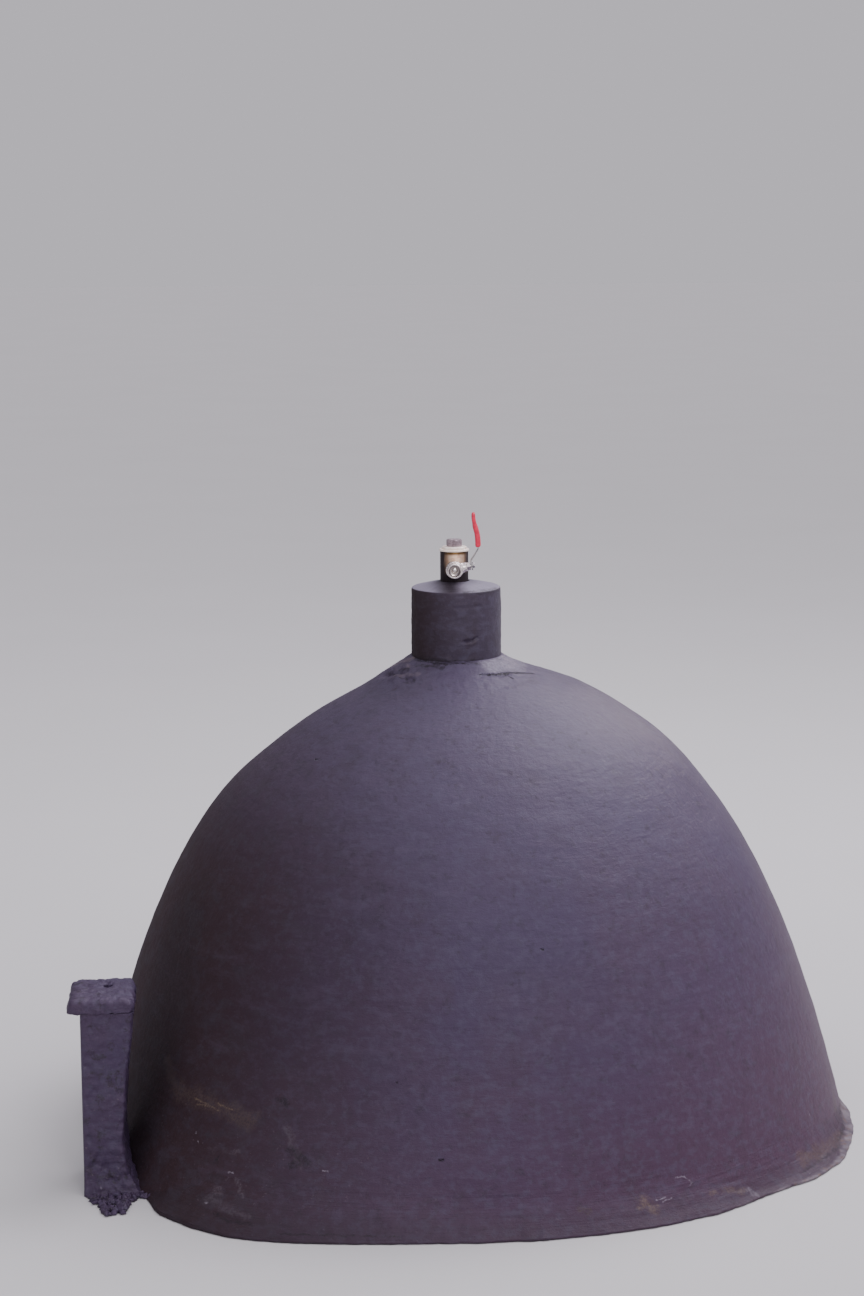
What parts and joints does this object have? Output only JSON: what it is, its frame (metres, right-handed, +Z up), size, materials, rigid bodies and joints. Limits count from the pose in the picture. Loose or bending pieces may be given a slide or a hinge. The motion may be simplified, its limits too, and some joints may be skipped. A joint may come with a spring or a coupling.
{
  "type": "fixed-dome biogas digester",
  "caption": "Hollow black-painted masonry dome on the ground with a short round neck, a gas outlet turret and a lever ball valve on top, a mortar skirt and a narrow stub wall at its side.",
  "frame": {"origin": "on the ground, in the middle of the footprint; the axis of the dome's foot stands 10.3 mm to the -X side of it and 6.6 mm to the +Y side", "axes": "+Z up, -Y the way the valve's outlet faces, +X the side that the valve's handle is on"},
  "size_m": [1.4088, 1.4412, 1.1149],
  "materials": {
    "black_paint": "satin black paint over trowelled cement render",
    "bare_cement": "bare grey cement mortar, rough",
    "brass": "dull brass, partly painted over",
    "nickel_plate": "bright nickel plate on brass",
    "grey_steel": "grey steel",
    "seat_plastic": "white seat ring",
    "red_vinyl": "dipped red vinyl"
  },
  "bodies": {
    "digester": {"dome_shell": "black_paint", "neck_wall": "black_paint", "neck_screed": "black_paint", "neck_collar": "black_paint", "stub_wall": "black_paint", "stub_cap": "black_paint", "stub_foot": "black_paint", "base_skirt": "bare_cement", "gas_pipe": "grey_steel", "turret_body": "brass", "turret_rim": "brass", "reducer_bush": "brass", "turret_plug": "grey_steel", "valve_nipple": "nickel_plate", "valve_body": "nickel_plate", "valve_end": "nickel_plate", "valve_seat_front": "seat_plastic", "valve_seat_back": "seat_plastic", "gland_nut": "nickel_plate"},
    "valve_handle": {"valve_ball": "nickel_plate", "valve_stem": "grey_steel", "valve_lever": "grey_steel", "lever_nut": "grey_steel", "lever_sleeve": "red_vinyl"}
  },
  "joints": [
    {"name": "valve_turn", "type": "hinge", "parent": "digester", "child": "valve_handle", "pos_m": [-0.02984, -0.04686, 1.0115], "axis": [0.9703, 0, 0.2419], "range_deg": [0, 90]}
  ]
}
